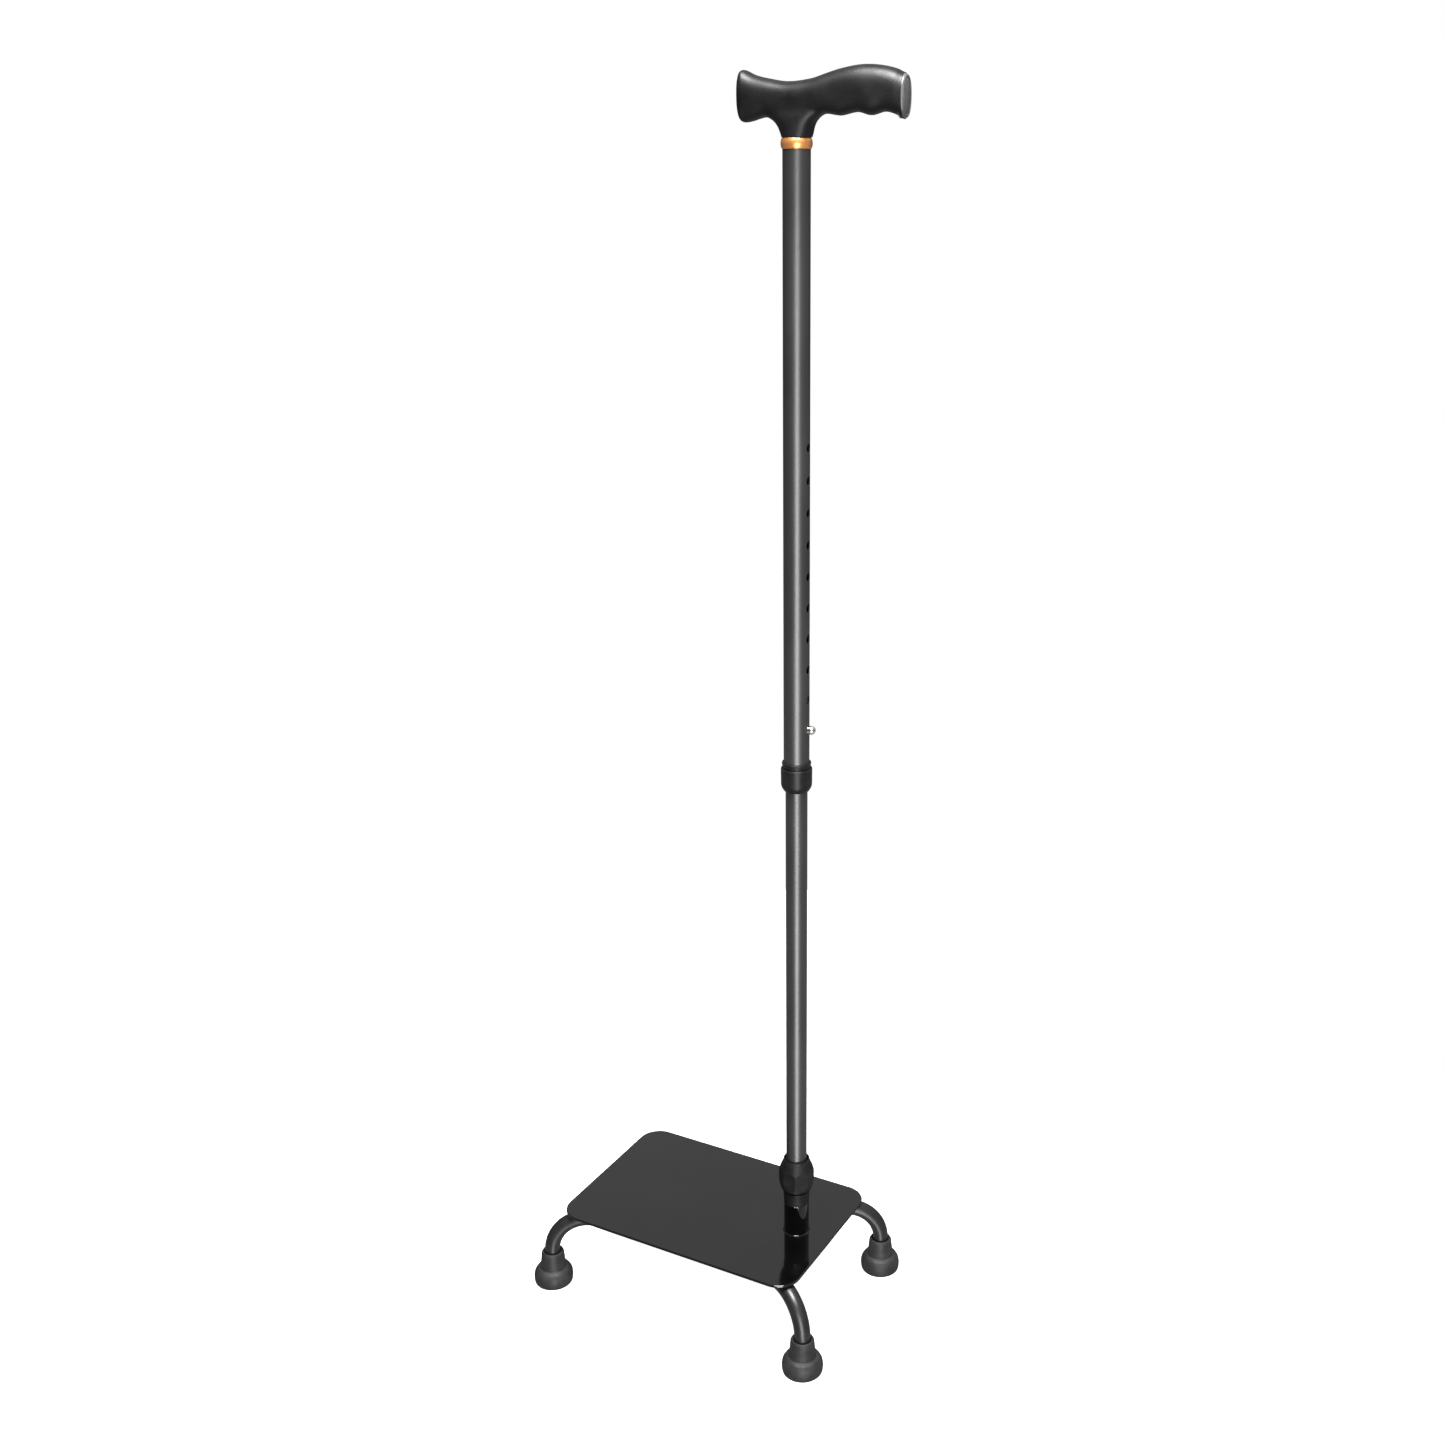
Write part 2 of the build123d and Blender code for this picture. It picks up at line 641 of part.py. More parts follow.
def build_all():
    nodes = {"base_plate": base_plate()}
    for name, side_y in (("front", -1), ("rear", 1)):
        nodes[f"{name}_leg_tube"] = leg_tube(side_y)
        nodes[f"{name}_leg_welds"] = Compound(children=leg_welds(side_y))
    for place in FOOT_PLACES:
        nodes[f"{place}_foot"] = rubber_foot(place)
    nodes["foot_washers"] = Compound(children=foot_washers())
    nodes["post"] = post()
    nodes["post_weld"] = post_weld()
    nodes["threaded_socket"] = threaded_socket()
    nodes["gripping_collet"] = gripping_collet()
    nodes["lock_nut"] = lock_nut()
    nodes["lower_tube"] = lower_tube()
    nodes["guide_plug"] = guide_plug()
    nodes["height_button"] = snap_button()
    nodes["height_button_spring"] = leaf_spring()
    nodes["upper_tube"] = upper_tube()
    nodes["collar_bush"] = collar_bush()
    nodes["collar_cup"] = collar_cup()
    nodes["rattle_ring"] = rattle_ring()
    nodes["handle_collar"] = handle_collar()
    nodes["handle_stem"] = handle_stem()
    nodes["handle_pin"] = handle_pin()
    nodes["handle_grip"] = handle_grip()
    nodes["grip_end_plug"] = grip_end_plug()
    return nodes


os.makedirs("parts", exist_ok=True)
for node, solid in build_all().items():
    export_step(solid, f"parts/{node}.step")
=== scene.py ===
import json
from math import asin, atan2, cos, pi, radians, sin, tan, tau

import bmesh
import bpy
from mathutils import Matrix, Vector


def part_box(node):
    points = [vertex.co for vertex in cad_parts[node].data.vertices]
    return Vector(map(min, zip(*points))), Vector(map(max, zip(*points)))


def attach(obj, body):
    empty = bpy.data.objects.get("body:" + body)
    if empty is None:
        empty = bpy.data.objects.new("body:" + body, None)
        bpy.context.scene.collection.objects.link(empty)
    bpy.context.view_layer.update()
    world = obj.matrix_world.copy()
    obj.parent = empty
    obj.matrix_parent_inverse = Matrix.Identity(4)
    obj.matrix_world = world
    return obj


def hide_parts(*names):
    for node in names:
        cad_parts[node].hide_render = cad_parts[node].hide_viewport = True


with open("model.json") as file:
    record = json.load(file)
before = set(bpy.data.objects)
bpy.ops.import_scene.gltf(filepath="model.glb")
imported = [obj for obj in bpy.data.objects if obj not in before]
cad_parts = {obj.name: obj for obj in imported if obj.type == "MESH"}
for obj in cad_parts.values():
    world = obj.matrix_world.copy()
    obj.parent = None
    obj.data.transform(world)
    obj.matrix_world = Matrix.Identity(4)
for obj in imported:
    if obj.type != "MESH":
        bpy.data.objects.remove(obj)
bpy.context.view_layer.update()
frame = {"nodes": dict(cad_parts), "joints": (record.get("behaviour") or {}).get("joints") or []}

# Quad walking cane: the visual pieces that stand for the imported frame's visible nodes. Sizes are in
# millimetres until add_piece makes a mesh in metres, and every piece is drawn where its CAD node is.
MM = 0.001
TUBE_SEGMENTS = 144
MERGE_DISTANCE = 0.0005

# Radii: the bent legs, the bores that the lower tube slides in, the neck of the post inside its
# socket, and the insides of the two tubes
LEG_RADIUS = 7.0
SHAFT_BORE = 9.1
POST_NECK = 10.0
LOWER_TUBE_BORE = 7.7
UPPER_TUBE_BORE = 9.2

# The row of holes in the upper tube, and the button, which comes out of the lowest of them
HOLE_RADIUS = 3.7
HOLE_PITCH = 25.4
HOLE_COUNT = 10
BUTTON_RADIUS = 3.5


# ---- What the frame says ----


def span(node):
    """A round node's bottom, top and outer radius, in millimetres."""
    low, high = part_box(node)
    return low.z / MM, high.z / MM, max(high.x - low.x, high.y - low.y) / 2 / MM


def middle(node):
    """The middle of a node's box, seen from above, in millimetres."""
    low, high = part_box(node)
    return (low.x + high.x) / 2 / MM, (low.y + high.y) / 2 / MM


def joint_axis(name):
    """The direction of a joint, as the frame gives it."""
    return next(joint["axis"] for joint in frame["joints"] if joint["name"] == name)


# Round pieces are drawn about the shaft's axis, with the row of holes towards +X.
SHAFT_X, SHAFT_Y = middle("post")
BUTTON_AXIS = joint_axis("height_button_press")
SHAFT_TURN = atan2(BUTTON_AXIS[1], BUTTON_AXIS[0])
SHAFT = Matrix.Translation((SHAFT_X, SHAFT_Y, 0)) @ Matrix.Rotation(SHAFT_TURN, 4, "Z")
HERE = Matrix.Identity(4)


# ---- Mesh helpers ----


def add_piece(name, build, body, nodes, slot, place=SHAFT, crease=35.0):
    """One piece: a bmesh in millimetres, placed, shaded, given its slot's finish and tied to its body,
    with its CAD nodes hidden.
    """
    bmesh.ops.remove_doubles(build, verts=build.verts, dist=MERGE_DISTANCE)
    bmesh.ops.recalc_face_normals(build, faces=build.faces)
    bmesh.ops.transform(build, matrix=Matrix.Scale(MM, 4) @ place, verts=build.verts)
    mesh = bpy.data.meshes.new(name)
    build.to_mesh(mesh)
    build.free()
    mesh.materials.append(FINISHES[slot])
    mesh.shade_smooth()
    mesh.set_sharp_from_angle(angle=radians(crease))
    piece = bpy.data.objects.new(name, mesh)
    bpy.context.scene.collection.objects.link(piece)
    weighted = piece.modifiers.new("even_shading", "WEIGHTED_NORMAL")
    weighted.keep_sharp = True
    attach(piece, body)
    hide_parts(*nodes)


def rounded(corners, steps=5):
    """A closed outline from (radius, height, rounding) corners, with each corner eased."""
    points = []
    count = len(corners)
    most_of_edge = 0.48
    for index, (x, y, rounding) in enumerate(corners):
        corner = Vector((x, y))
        if rounding <= 0:
            points.append((x, y))
            continue
        ends = []
        for step in (-1, 1):
            other = Vector(corners[(index + step) % count][:2])
            reach = min(rounding, (other - corner).length * most_of_edge)
            ends.append(corner + (other - corner).normalized() * reach)
        for number in range(steps + 1):
            u = number / steps
            eased = ends[0] * (1 - u) ** 2 + corner * (2 * u * (1 - u)) + ends[1] * u**2
            points.append((eased.x, eased.y))
    return points


def polar(radius, angle, height):
    """The point at a radius and an angle about the axis."""
    return radius * cos(angle), radius * sin(angle), height


def bridge(build, first, second):
    """Quads between two rings of vertices of the same length."""
    count = len(first)
    for index in range(count):
        after = (index + 1) % count
        build.faces.new([first[index], first[after], second[after], second[index]])


def skin_rings(build, rings, closed_loop=False):
    """Quads between rings of points. closed_loop joins the last ring to the first."""
    rows = [[build.verts.new(point) for point in ring] for ring in rings]
    pairs = list(zip(rows, rows[1:]))
    if closed_loop:
        pairs.append((rows[-1], rows[0]))
    for lower, upper in pairs:
        bridge(build, lower, upper)
    return rows


def capped_loft(build, rings):
    """A closed skin: quads between the rings, and one face over each end."""
    rows = skin_rings(build, rings)
    build.faces.new(rows[0])
    build.faces.new(rows[-1])


def lathe(build, outline, segments=TUBE_SEGMENTS, ripple=None):
    """Turns a closed (radius, height) outline about Z. ripple(angle) adds to the radius."""
    rings = []
    for radius, height in outline:
        ring = []
        for number in range(segments):
            angle = tau * number / segments
            here = radius + (ripple(angle) if ripple and radius > 0 else 0.0)
            ring.append(polar(here, angle, height))
        rings.append(ring)
    skin_rings(build, rings, closed_loop=True)
    bmesh.ops.remove_doubles(build, verts=build.verts, dist=MERGE_DISTANCE)
    smallest_area = 1e-7
    flat = [face for face in build.faces if face.calc_area() < smallest_area]
    bmesh.ops.delete(build, geom=flat, context="FACES_ONLY")


def turned_piece(name, corners, body, nodes, slot, segments=TUBE_SEGMENTS, ripple=None):
    """A piece turned about the shaft's axis from (radius, height, rounding) corners."""
    build = bmesh.new()
    lathe(build, rounded(corners), segments, ripple)
    add_piece(name, build, body, nodes, slot)


# The holes of a tube are in one row towards +X, and each sits in a patch of its wall. The patch spans
# this many columns each way from the hole's middle, and this height above and below its edge.
PATCH_COLUMNS = 11
PATCH_MARGIN = 1.2
# how far the edge of a hole is rolled over
LIP = 0.28
# Each ring of a patch lies a share of the way from the patch's border to a circle that is larger
# than the hole by the second number.
PATCH_RINGS = ((0.45, 0.6), (0.85, 0.35), (1.0, LIP))


def hole_ring(radius, wall, height, count):
    """A circle on a round wall, as points that start towards the patch's lower first corner."""
    start = -0.75 * pi
    ring = []
    for number in range(count):
        angle = start + tau * number / count
        across = asin(radius * cos(angle) / wall)
        ring.append(polar(wall, across, height + radius * sin(angle)))
    return ring


def hole_patch(build, wall, border, height, inward):
    """Skins a patch of round wall from its border to a hole. Returns the vertices of the hole's lip."""
    count = len(border)
    previous = border
    for share, growth in PATCH_RINGS:
        ring = []
        for outer, inner in zip(border, hole_ring(HOLE_RADIUS + growth, wall, height, count)):
            point = outer.co.lerp(Vector(inner), share)
            out = Vector((point.x, point.y, 0)).normalized() * wall
            ring.append(build.verts.new((out.x, out.y, point.z)))
        bridge(build, previous, ring)
        previous = ring
    lip = []
    for x, y, z in hole_ring(HOLE_RADIUS, wall, height, count):
        out = Vector((x, y, 0)).normalized() * (wall + inward * LIP)
        lip.append(build.verts.new((out.x, out.y, z)))
    bridge(build, previous, lip)
    return lip


def drilled_wall(build, wall, levels, hole_heights, inward):
    """A round wall between two levels, with holes. Returns its two end rings and the holes' lips."""
    step = tau / TUBE_SEGMENTS
    first, last = -PATCH_COLUMNS, PATCH_COLUMNS
    parts = last - first
    grid = {}

    def corner(column, height):
        key = (column % TUBE_SEGMENTS, round(height, 4))
        if key not in grid:
            grid[key] = build.verts.new(polar(wall, column * step, height))
        return grid[key]

    def band(low, high, start, end):
        for column in range(start, end):
            across = [corner(column, low), corner(column + 1, low)]
            build.faces.new([*across, corner(column + 1, high), corner(column, high)])

    lips = []
    floor = levels[0]
    for height in hole_heights:
        reach = HOLE_RADIUS + PATCH_MARGIN
        low, high = round(height - reach, 4), round(height + reach, 4)
        band(floor, low, 0, TUBE_SEGMENTS)
        bottom = [corner(first + number, low) for number in range(parts)]
        right = [corner(last, low + (high - low) * number / parts) for number in range(parts)]
        top = [corner(last - number, high) for number in range(parts)]
        left = [corner(first, high - (high - low) * number / parts) for number in range(parts)]
        lips.append(hole_patch(build, wall, [*bottom, *right, *top, *left], height, inward))
        # the columns beside the patch share the points up its two sides
        right.append(corner(last, high))
        left.append(corner(first, low))
        build.faces.new([*right[::-1], corner(last + 1, low), corner(last + 1, high)])
        build.faces.new([*left[::-1], corner(first - 1, high), corner(first - 1, low)])
        band(low, high, last + 1, TUBE_SEGMENTS + first - 1)
        floor = high
    band(floor, levels[1], 0, TUBE_SEGMENTS)
    ends = [[corner(column, level) for column in range(TUBE_SEGMENTS)] for level in levels]
    return ends, lips


def drilled_tube(build, outer, inner, bottom, top, hole_heights):
    """A tube with eased ends and a row of round holes, which are given from the lowest up."""
    ease = 0.35
    end_steps = 8
    angles = [tau * number / TUBE_SEGMENTS for number in range(TUBE_SEGMENTS)]
    levels = [round(bottom + ease, 4), round(top - ease, 4)]
    outside, outer_lips = drilled_wall(build, outer, levels, hole_heights, -1)
    inside, inner_lips = drilled_wall(build, inner, levels, hole_heights, 1)
    for outer_lip, inner_lip in zip(outer_lips, inner_lips):
        bridge(build, outer_lip, inner_lip)
    for wall_out, wall_in, end, sign in (
        (outside[0], inside[0], bottom, -1),
        (outside[1], inside[1], top, 1),
    ):
        rings = []
        for part in range(1, end_steps):
            swing = pi * (part / end_steps)
            radius = (outer + inner) / 2 + (outer - inner) / 2 * cos(swing)
            height = end - sign * ease + sign * ease * sin(swing) ** 0.5
            rings.append([build.verts.new(polar(radius, angle, height)) for angle in angles])
        for lower, upper in zip([wall_out, *rings], [*rings, wall_in]):
            bridge(build, lower, upper)


def filleted_path(corners, radii):
    """Points along straight runs joined by tangent arcs."""
    arc_step = 2.5
    corners = [Vector(corner) for corner in corners]
    points = [corners[0]]
    for before, corner, after, radius in zip(corners, corners[1:], corners[2:], radii):
        incoming = (corner - before).normalized()
        outgoing = (after - corner).normalized()
        bend = incoming.angle(outgoing)
        reach = radius * tan(bend / 2)
        start = corner - incoming * reach
        centre = start + (outgoing - incoming * incoming.dot(outgoing)).normalized() * radius
        axis = incoming.cross(outgoing).normalized()
        count = max(4, round(radius * bend / arc_step))
        for number in range(count + 1):
            turn = Matrix.Rotation(bend * number / count, 3, axis)
            points.append(centre + turn @ (start - centre))
    points.append(corners[-1])
    return points


def sweep(build, points, outer, inner):
    """A round tube along points, with its frame carried from point to point without twist."""
    segments = 64
    directions = []
    for index in range(len(points)):
        before = points[max(index - 1, 0)]
        after = points[min(index + 1, len(points) - 1)]
        directions.append((after - before).normalized())
    side = directions[0].orthogonal().normalized()
    rows = {outer: [], inner: []}
    for point, direction in zip(points, directions):
        side = (side - direction * side.dot(direction)).normalized()
        up = direction.cross(side)
        for radius, ring_list in rows.items():
            ring = []
            for number in range(segments):
                angle = tau * number / segments
                ring.append(point + (side * cos(angle) + up * sin(angle)) * radius)
            ring_list.append(ring)
    skin_rings(build, [*rows[outer], *rows[inner][::-1]], closed_loop=True)


# ---- Materials ----


class Finish:
    """A Principled material put together from named textures in object space."""

    def __init__(self, name, metallic=0.0, specular=0.5, coat=0.0, coat_roughness=0.1):
        self.material = bpy.data.materials.new(name)
        self.material.use_nodes = True
        self.tree = self.material.node_tree
        self.shader = self.tree.nodes["Principled BSDF"]
        self.shader.inputs["Metallic"].default_value = metallic
        self.shader.inputs["Specular IOR Level"].default_value = specular
        self.shader.inputs["Coat Weight"].default_value = coat
        self.shader.inputs["Coat Roughness"].default_value = coat_roughness
        self.place = self.tree.nodes.new("ShaderNodeTexCoord")
        self.height = None

    def coordinates(self, stretch):
        """Object coordinates, scaled along each axis."""
        mapping = self.tree.nodes.new("ShaderNodeMapping")
        mapping.inputs["Scale"].default_value = stretch
        self.tree.links.new(self.place.outputs["Object"], mapping.inputs["Vector"])
        return mapping.outputs["Vector"]

    def noise(self, size, detail, stretch=(1, 1, 1)):
        """Cloudy noise whose features are about size millimetres across."""
        node = self.tree.nodes.new("ShaderNodeTexNoise")
        node.inputs["Scale"].default_value = 1 / (size * MM)
        node.inputs["Detail"].default_value = detail
        node.inputs["Roughness"].default_value = 0.55
        self.tree.links.new(self.coordinates(stretch), node.inputs["Vector"])
        return node.outputs["Fac"]

    def cells(self, size):
        """Rounded pebbles about size millimetres across."""
        node = self.tree.nodes.new("ShaderNodeTexVoronoi")
        node.feature = "SMOOTH_F1"
        node.inputs["Scale"].default_value = 1 / (size * MM)
        self.tree.links.new(self.coordinates((1, 1, 1)), node.inputs["Vector"])
        return node.outputs["Distance"]

    def remap(self, value, low, high, start=0.3, end=0.7):
        """A texture's values from start to end, spread from low to high."""
        node = self.tree.nodes.new("ShaderNodeMapRange")
        node.inputs["From Min"].default_value = start
        node.inputs["From Max"].default_value = end
        node.inputs["To Min"].default_value = low
        node.inputs["To Max"].default_value = high
        self.tree.links.new(value, node.inputs["Value"])
        return node.outputs["Result"]

    def colour(self, value, one, other):
        """Mixes two colours by a texture."""
        node = self.tree.nodes.new("ShaderNodeMix")
        node.data_type = "RGBA"
        node.inputs["A"].default_value = (*one, 1)
        node.inputs["B"].default_value = (*other, 1)
        self.tree.links.new(self.remap(value, 0.0, 1.0, 0.35, 0.65), node.inputs["Factor"])
        self.tree.links.new(node.outputs["Result"], self.shader.inputs["Base Color"])

    def roughness(self, value, low, high):
        """Varies the roughness from low to high by a texture."""
        self.tree.links.new(self.remap(value, low, high), self.shader.inputs["Roughness"])

    def bump(self, value, depth, strength):
        """Adds relief of about depth millimetres to what is there already."""
        node = self.tree.nodes.new("ShaderNodeBump")
        node.inputs["Strength"].default_value = strength
        node.inputs["Distance"].default_value = depth * MM
        self.tree.links.new(value, node.inputs["Height"])
        if self.height:
            self.tree.links.new(self.height, node.inputs["Normal"])
        self.height = node.outputs["Normal"]
        self.tree.links.new(self.height, self.shader.inputs["Normal"])


def gunmetal():
    """Dark satin anodised tube, with fine rings ground round it."""
    finish = Finish("shaft_gunmetal_finish", metallic=0.9, specular=0.5)
    rings = finish.noise(0.2, 2.0, (0.02, 0.02, 1))
    clouds = finish.noise(35.0, 3.0, (1, 1, 0.4))
    grain = finish.noise(0.25, 1.0)
    finish.colour(clouds, (0.083, 0.083, 0.085), (0.100, 0.100, 0.102))
    finish.roughness(clouds, 0.36, 0.40)
    finish.bump(rings, 0.006, 0.5)
    finish.bump(grain, 0.003, 0.5)
    return finish.material


def plate_enamel():
    """Deep black baked enamel with a little orange peel."""
    finish = Finish("plate_enamel", specular=0.5, coat=0.3, coat_roughness=0.03)
    peel = finish.noise(3.2, 1.0)
    clouds = finish.noise(60.0, 3.0)
    finish.colour(clouds, (0.0008, 0.0008, 0.0009), (0.0016, 0.0016, 0.0018))
    finish.roughness(clouds, 0.07, 0.11)
    finish.bump(peel, 0.004, 0.35)
    return finish.material


def leg_paint():
    """Semi-gloss black powder coat on the bent tubes."""
    finish = Finish("leg_paint", specular=0.48, coat=0.12, coat_roughness=0.2)
    peel = finish.noise(1.4, 2.0)
    clouds = finish.noise(20.0, 3.0)
    finish.colour(clouds, (0.005, 0.005, 0.005), (0.009, 0.009, 0.009))
    finish.roughness(clouds, 0.36, 0.44)
    finish.bump(peel, 0.02, 0.35)
    return finish.material


def rubber():
    """Moulded dark grey rubber: matt, with a fine dry grain and a dusty cast."""
    finish = Finish("foot_rubber_finish", specular=0.26)
    dust = finish.noise(7.0, 4.0)
    grain = finish.cells(0.55)
    soft = finish.noise(2.5, 3.0)
    finish.colour(dust, (0.012, 0.012, 0.012), (0.021, 0.021, 0.0205))
    finish.roughness(soft, 0.46, 0.60)
    finish.bump(grain, 0.02, 0.5)
    finish.bump(soft, 0.03, 0.3)
    return finish.material


def grip_plastic():
    """Moulded black plastic with a fine leathery grain and handling gloss."""
    finish = Finish("grip_plastic", specular=0.26)
    grain = finish.cells(0.7)
    fine = finish.noise(0.35, 2.0)
    handling = finish.noise(14.0, 3.0)
    finish.colour(handling, (0.0028, 0.0028, 0.0030), (0.0046, 0.0046, 0.0048))
    finish.roughness(handling, 0.37, 0.46)
    finish.bump(grain, 0.05, 0.55)
    finish.bump(fine, 0.02, 0.4)
    return finish.material


def plug_plastic():
    """The grip's end plug: smoother, greyer plastic."""
    finish = Finish("plug_plastic", specular=0.5)
    clouds = finish.noise(6.0, 3.0)
    fine = finish.noise(0.3, 1.0)
    finish.colour(clouds, (0.060, 0.060, 0.059), (0.080, 0.080, 0.078))
    finish.roughness(clouds, 0.30, 0.40)
    finish.bump(fine, 0.008, 0.4)
    return finish.material


def copper_gold():
    """Polished copper-gold trim with fine turning lines."""
    finish = Finish("collar_copper_gold_finish", metallic=0.9)
    turning = finish.noise(0.35, 2.0, (0.06, 0.06, 1))
    clouds = finish.noise(8.0, 2.0)
    finish.colour(clouds, (0.94, 0.37, 0.11), (0.98, 0.44, 0.15))
    finish.roughness(turning, 0.30, 0.38)
    finish.bump(turning, 0.001, 0.3)
    return finish.material


def chrome():
    """Polished plate on the snap button."""
    finish = Finish("button_chrome_finish", metallic=1.0)
    clouds = finish.noise(3.0, 2.0)
    fine = finish.noise(0.2, 1.0)
    finish.colour(clouds, (0.80, 0.78, 0.73), (0.88, 0.86, 0.82))
    finish.roughness(fine, 0.06, 0.12)
    finish.bump(clouds, 0.003, 0.3)
    return finish.material


def nut_plastic():
    """Matt black glass-filled plastic of the lock nut and the socket."""
    finish = Finish("nut_plastic", specular=0.22)
    grain = finish.noise(0.5, 3.0)
    clouds = finish.noise(9.0, 3.0)
    finish.colour(clouds, (0.0035, 0.0035, 0.0035), (0.006, 0.006, 0.006))
    finish.roughness(clouds, 0.42, 0.54)
    finish.bump(grain, 0.03, 0.5)
    return finish.material


def cup_plastic():
    """Smoother semi-gloss black plastic of the mid collar."""
    finish = Finish("cup_plastic", specular=0.24)
    grain = finish.noise(0.4, 2.0)
    clouds = finish.noise(8.0, 3.0)
    finish.colour(clouds, (0.005, 0.005, 0.005), (0.008, 0.008, 0.008))
    finish.roughness(clouds, 0.34, 0.44)
    finish.bump(grain, 0.01, 0.4)
    return finish.material


def nylon():
    """Dark moulded nylon of the hidden stem, plug and collet."""
    finish = Finish("stem_nylon_finish", specular=0.4)
    clouds = finish.noise(6.0, 3.0)
    fine = finish.noise(0.4, 2.0)
    finish.colour(clouds, (0.005, 0.005, 0.005), (0.009, 0.009, 0.009))
    finish.roughness(clouds, 0.38, 0.50)
    finish.bump(fine, 0.01, 0.4)
    return finish.material


def spring_steel():
    """Bare rolled steel of the springs, the washers and the pin."""
    finish = Finish("plain_steel_finish", metallic=1.0)
    rolled = finish.noise(0.8, 3.0, (1, 1, 0.1))
    clouds = finish.noise(10.0, 3.0)
    finish.colour(clouds, (0.36, 0.36, 0.36), (0.46, 0.455, 0.45))
    finish.roughness(rolled, 0.24, 0.38)
    finish.bump(rolled, 0.006, 0.4)
    return finish.material


# One finish for each of the record's material slots
FINISHES = {
    "shaft_gunmetal": gunmetal(),
    "plate_gloss_black": plate_enamel(),
    "leg_black": leg_paint(),
    "foot_rubber": rubber(),
    "grip_black": grip_plastic(),
    "plug_grey": plug_plastic(),
    "collar_copper_gold": copper_gold(),
    "button_chrome": chrome(),
    "nut_black": nut_plastic(),
    "cup_black": cup_plastic(),
    "stem_nylon": nylon(),
    "plain_steel": spring_steel(),
}


def finish_cad_nodes():
    """Every CAD node takes the finish of its slot."""
    for node in frame["nodes"].values():
        for material_slot in node.material_slots:
            material_slot.material = FINISHES[material_slot.material.name.split(".")[0]]


# ---- Base ----


def make_plate():
    """The enamelled plate: flat faces, rounded corners and rolled edges."""
    low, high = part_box("base_plate")
    centre_x, centre_y = middle("base_plate")
    half_x = (high.x - low.x) / 2 / MM
    half_y = (high.y - low.y) / 2 / MM
    bottom, top = low.z / MM, high.z / MM
    corner = 20.0
    corner_steps = 24
    ease = 0.9
    ease_steps = 6

    def outline(inset, height):
        points = []
        for quarter in range(4):
            sign_x = (1, -1, -1, 1)[quarter]
            sign_y = (1, 1, -1, -1)[quarter]
            for number in range(corner_steps + 1):
                angle = pi / 2 * (quarter + number / corner_steps)
                radius = corner - inset
                x = centre_x + sign_x * (half_x - corner) + radius * cos(angle)
                y = centre_y + sign_y * (half_y - corner) + radius * sin(angle)
                points.append((x, y, height))
        return points

    rings = []
    for number in range(ease_steps + 1):
        swing = pi / 2 * number / ease_steps
        rings.append(outline(ease * (1 - sin(swing)), bottom + ease * (1 - cos(swing))))
    for number in range(ease_steps + 1):
        swing = pi / 2 * number / ease_steps
        rings.append(outline(ease * (1 - cos(swing)), top - ease * (1 - sin(swing))))
    build = bmesh.new()
    capped_loft(build, rings)
    add_piece("base_plate_visual", build, "base", ["base_plate"], "plate_gloss_black", HERE)


def make_leg(end, side):
    """One bent leg tube, from foot to foot: up, flared in to its run under the plate, and down.

    side says which way along Y the feet stand from the run.
    """
    node = f"{end}_leg_tube"
    low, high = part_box(node)
    left_x, foot_y = middle(f"{end}_left_foot")
    right_x, _ = middle(f"{end}_right_foot")
    wall = 1.2
    knee = 32.0
    flare_bend = 60.0
    flare_angle = radians(29.5)
    bottom = low.z / MM
    height = high.z / MM - LEG_RADIUS
    run_y = (low.y if side > 0 else high.y) / MM + side * LEG_RADIUS
    flare = abs(foot_y - run_y) / tan(flare_angle)
    corners = [
        (right_x, foot_y, bottom),
        (right_x, foot_y, height),
        (right_x - flare, run_y, height),
        (left_x + flare, run_y, height),
        (left_x, foot_y, height),
        (left_x, foot_y, bottom),
    ]
    path = filleted_path(corners, (knee, flare_bend, flare_bend, knee))
    build = bmesh.new()
    sweep(build, path, LEG_RADIUS, LEG_RADIUS - wall)
    add_piece(f"{node}_visual", build, "base", [node], "leg_black", HERE)


def make_foot(place):
    """A rubber ferrule: rim, straight neck, round bulb and grooved tread."""
    node = f"{place}_foot"
    x, y = middle(node)
    _, top, widest = span(node)
    socket_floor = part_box("foot_washers")[0].z / MM
    outline = rounded(
        [
            (LEG_RADIUS, socket_floor, 0),
            (LEG_RADIUS, top - 2.4, 0.3),
            (8.0, top - 0.1, 0.4),
            (9.1, top, 0.5),
            (10.2, top - 1.9, 0.5),
            (11.6, 15.2, 0.3),
            (14.6, 14.0, 1.6),
            (17.2, 10.2, 2.8),
            (widest, 6.2, 2.6),
            (widest - 0.4, 2.0, 1.8),
            (widest - 1.0, 0.1, 0.8),
            (15.6, 0, 0.6),
        ]
    )
    half_groove = 0.8
    groove_depth = 1.5
    for groove in (12.5, 8.5, 4.5):
        outside, inside = groove + half_groove, groove - half_groove
        corners = [(outside, 0), (outside, groove_depth), (inside, groove_depth), (inside, 0)]
        outline += rounded([(*corner, 0.2) for corner in corners], 3)
    outline += [(0, 0), (0, socket_floor)]
    build = bmesh.new()
    lathe(build, outline, segments=96)
    add_piece(f"{node}_visual", build, "base", [node], "foot_rubber", Matrix.Translation((x, y, 0)))


def make_post():
    """The welded stub and the narrower neck above it."""
    bottom, top, radius = span("post")
    shoulder = span("threaded_socket")[0]
    corners = [
        (SHAFT_BORE, bottom, 0),
        (radius, bottom, 0),
        (radius, shoulder, 0.4),
        (POST_NECK, shoulder, 0),
        (POST_NECK, top, 0.3),
        (SHAFT_BORE, top, 0.3),
    ]
    turned_piece("post_visual", corners, "base", ["post"], "plate_gloss_black")


